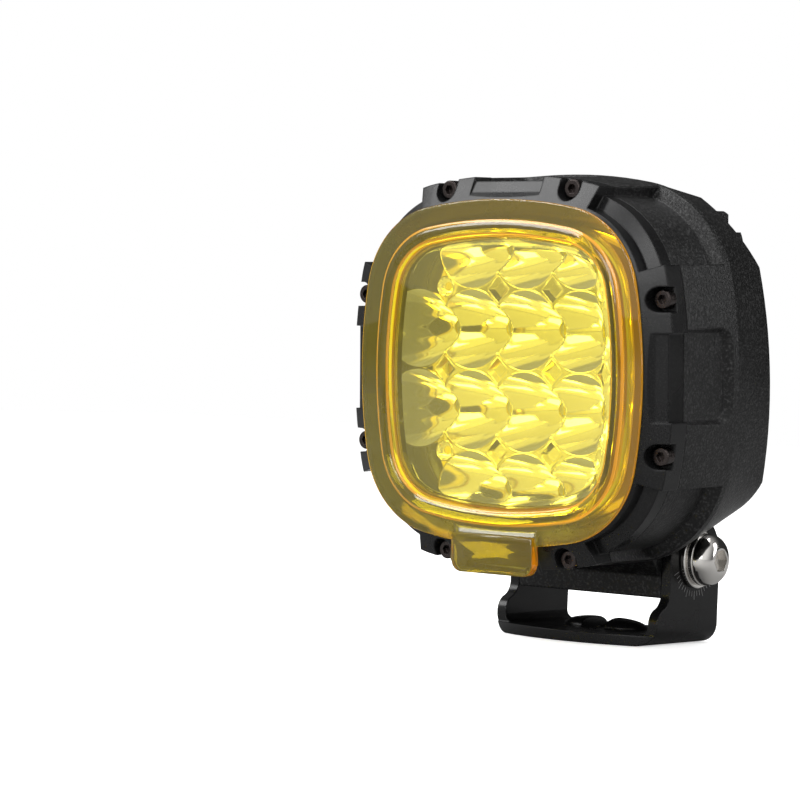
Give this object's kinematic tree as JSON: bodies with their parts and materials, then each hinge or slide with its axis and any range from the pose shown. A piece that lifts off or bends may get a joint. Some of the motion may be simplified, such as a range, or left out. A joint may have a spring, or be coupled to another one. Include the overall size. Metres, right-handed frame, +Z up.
{
  "type": "fog light",
  "caption": "Square LED fog light with a clip-on amber cover, tilting on a folded U bracket with a bolt hole in its base.",
  "frame": {"origin": "centre of the mounting hole, on the underside of the bracket", "axes": "+Z up out of the bracket, -Y the way the light shines, +X to the right of someone facing the light"},
  "size_m": [0.1806, 0.1271, 0.2162],
  "materials": {
    "cast_black": "black powder coat with a fine texture, on die-cast aluminium",
    "bezel_black": "smooth satin black coat on die-cast aluminium",
    "bracket_black": "semi-gloss black coat on folded steel",
    "stainless": "polished stainless steel",
    "black_oxide": "black oxide screws",
    "zinc": "plated screws",
    "amber": "clear amber polycarbonate",
    "clear_lens": "clear polycarbonate",
    "reflector_silver": "bright metallised plastic",
    "seal_black": "matt silicone rubber",
    "board_white": "white solder mask",
    "board_green": "green solder mask",
    "emitter_yellow": "yellow phosphor under a clear dome",
    "pad_grey": "matt grey",
    "black_plastic": "matt"
  },
  "bodies": {
    "bracket": {"mounting_bracket": "bracket_black"},
    "lamp": {"housing": "cast_black", "bezel": "bezel_black", "bezel_screws": "black_oxide", "lens": "clear_lens", "lens_seal": "seal_black", "body_gasket": "seal_black", "reflector_array": "reflector_silver", "reflector_screws": "zinc", "led_board": "board_white", "led_emitters": "emitter_yellow", "led_board_screws": "zinc", "thermal_pad": "pad_grey", "board_connector": "black_plastic", "driver_board": "board_green", "driver_components": "black_plastic", "driver_standoffs": "zinc", "driver_screws": "zinc", "rear_heatsink": "cast_black", "rear_seal": "seal_black", "rear_cover_screws": "black_oxide", "pressure_vent": "black_plastic", "gland_body": "black_plastic", "gland_seal": "seal_black", "gland_nut": "black_plastic", "pivot_bolt_left": "stainless", "pivot_bolt_right": "stainless", "spring_washer_left": "stainless", "spring_washer_right": "stainless", "flat_washer_left": "stainless", "flat_washer_right": "stainless"},
    "cover": {"amber_cover": "amber"}
  },
  "joints": [
    {"name": "lamp_tilt", "type": "hinge", "parent": "bracket", "child": "lamp", "pos_m": [0, 0.005, 0.04], "axis": [1, 0, 0], "range_deg": [-60, 17]},
    {"name": "cover_pull", "type": "slide", "parent": "lamp", "child": "cover", "axis": [0, -0.9986, -0.0523], "range_m": [0, 0.04]}
  ]
}
